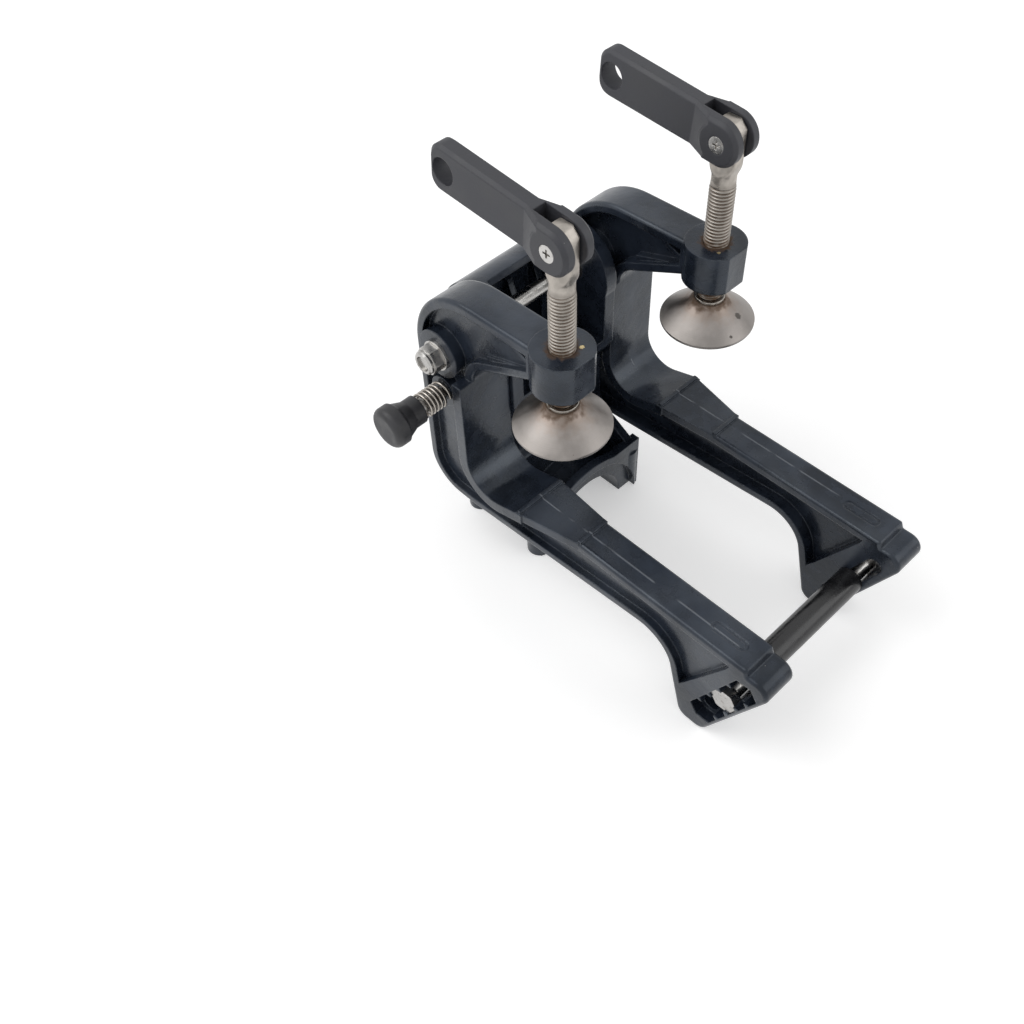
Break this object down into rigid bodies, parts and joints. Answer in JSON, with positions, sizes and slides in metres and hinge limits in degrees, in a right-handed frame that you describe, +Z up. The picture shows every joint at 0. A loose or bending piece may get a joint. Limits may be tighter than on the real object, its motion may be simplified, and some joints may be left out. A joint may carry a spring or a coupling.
{
  "type": "outboard motor bracket",
  "caption": "Clamp bracket for a small outboard motor: two hooked arms with clamp screws and folding handles, and a tilting swivel saddle between them.",
  "frame": {"origin": "centre of the four tapped lug holes, in the split face of the swivel saddle, which is also the surface the bracket lies on", "axes": "+X along the arms towards their tips, +Y across the bracket from the lock plunger's side to the other arm, +Z up along the clamp screws"},
  "size_m": [0.2295, 0.1715, 0.2494],
  "materials": {
    "casting_paint": "gloss",
    "tube_paint": "gloss",
    "handle_plastic": "matte",
    "knob_plastic": "matte",
    "screw_steel": "worn, with brown rust in the threads",
    "pad_steel": "satin, with light rust stains",
    "fastener_steel": "bright",
    "spring_steel": "satin",
    "nipple_brass": "dull",
    "bush_plastic": "matte"
  },
  "bodies": {
    "clamp_frame": {"clamp_bracket_left": "casting_paint", "clamp_bracket_right": "casting_paint", "tilt_bolt": "fastener_steel", "tilt_nut": "fastener_steel", "tilt_washers": "fastener_steel", "thrust_tube": "tube_paint", "thrust_bolt": "fastener_steel", "thrust_nut": "fastener_steel", "lock_spring": "spring_steel"},
    "swivel": {"swivel_bracket": "casting_paint", "tilt_bush_left": "bush_plastic", "tilt_bush_right": "bush_plastic", "grease_nipple": "nipple_brass"},
    "lock_plunger": {"lock_pin": "fastener_steel", "lock_knob": "knob_plastic", "lock_clip": "fastener_steel"},
    "pad_left": {"clamp_pad_left": "pad_steel", "neck_ring_left": "pad_steel"},
    "pad_right": {"clamp_pad_right": "pad_steel", "neck_ring_right": "pad_steel"},
    "screw_left": {"clamp_screw_left": "screw_steel"},
    "screw_right": {"clamp_screw_right": "screw_steel"},
    "handle_left": {"handle_left": "handle_plastic", "pivot_screw_left": "fastener_steel", "pivot_nut_left": "fastener_steel"},
    "handle_right": {"handle_right": "handle_plastic", "pivot_screw_right": "fastener_steel", "pivot_nut_right": "fastener_steel"}
  },
  "joints": [
    {"name": "tilt", "type": "hinge", "parent": "clamp_frame", "child": "swivel", "pos_m": [-0.013, 0, 0.139], "axis": [0, 1, 0], "range_deg": [0, 75]},
    {"name": "lock_push", "type": "slide", "parent": "clamp_frame", "child": "lock_plunger", "axis": [0, 1, 0], "range_m": [0, 0.007], "stiffness_N_per_m": 400, "springref_m": -0.008, "deforming": ["lock_spring"]},
    {"name": "pad_slide_left", "type": "slide", "parent": "clamp_frame", "child": "pad_left", "axis": [0, 0, -1], "range_m": [-0.0071, 0.03]},
    {"name": "screw_turn_left", "type": "hinge", "parent": "pad_left", "child": "screw_left", "pos_m": [0.058, -0.05, 0.1], "axis": [0, 0, -1], "range_deg": [-1440, 6120]},
    {"name": "handle_fold_left", "type": "hinge", "parent": "screw_left", "child": "handle_left", "pos_m": [0.058, -0.05, 0.2325], "axis": [0, 1, 0], "range_deg": [0, 170]},
    {"name": "pad_slide_right", "type": "slide", "parent": "clamp_frame", "child": "pad_right", "axis": [0, 0, -1], "range_m": [-0.0071, 0.03]},
    {"name": "screw_turn_right", "type": "hinge", "parent": "pad_right", "child": "screw_right", "pos_m": [0.058, 0.05, 0.1], "axis": [0, 0, -1], "range_deg": [-1440, 6120]},
    {"name": "handle_fold_right", "type": "hinge", "parent": "screw_right", "child": "handle_right", "pos_m": [0.058, 0.05, 0.2325], "axis": [0, 1, 0], "range_deg": [0, 170]}
  ],
  "couplings": [
    {"joint": "pad_slide_left", "follows": "screw_turn_left", "m_per_rad": 0.00027852},
    {"joint": "pad_slide_right", "follows": "screw_turn_right", "m_per_rad": 0.00027852}
  ]
}
